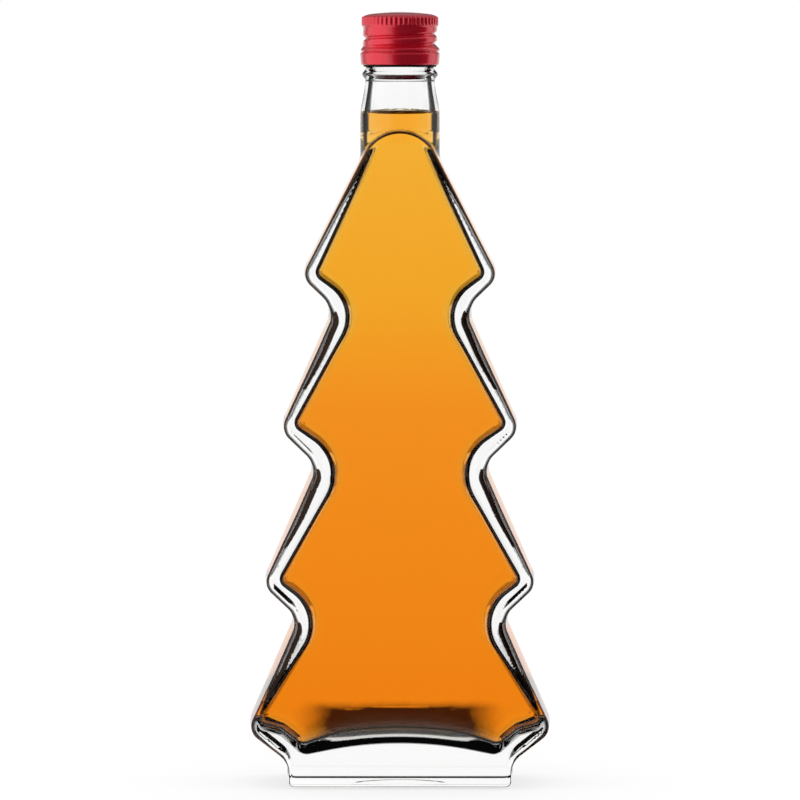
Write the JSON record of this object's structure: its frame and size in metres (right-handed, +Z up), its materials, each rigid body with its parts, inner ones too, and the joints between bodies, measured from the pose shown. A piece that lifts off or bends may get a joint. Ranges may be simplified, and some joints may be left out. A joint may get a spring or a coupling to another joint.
{
  "type": "filled tree-shaped glass bottle",
  "caption": "Clear glass bottle shaped like a stylised fir tree, thick-based and flat-faced, filled with amber spirit and closed by a red roll-on screw cap.",
  "frame": {"origin": "centre of the underside of the foot", "axes": "+Z up along the neck, +X across the wide flat front to the viewer's right, -Y out of the front face"},
  "size_m": [0.1066, 0.052, 0.2738],
  "materials": {
    "clear_glass": "clear flint glass, polished",
    "amber_spirit": "clear amber drink",
    "red_aluminium": "glossy red lacquer over thin aluminium, fluted rim"
  },
  "bodies": {
    "root": {"bottle": "clear_glass", "liquid": "amber_spirit", "cap": "red_aluminium"}
  },
  "joints": []
}
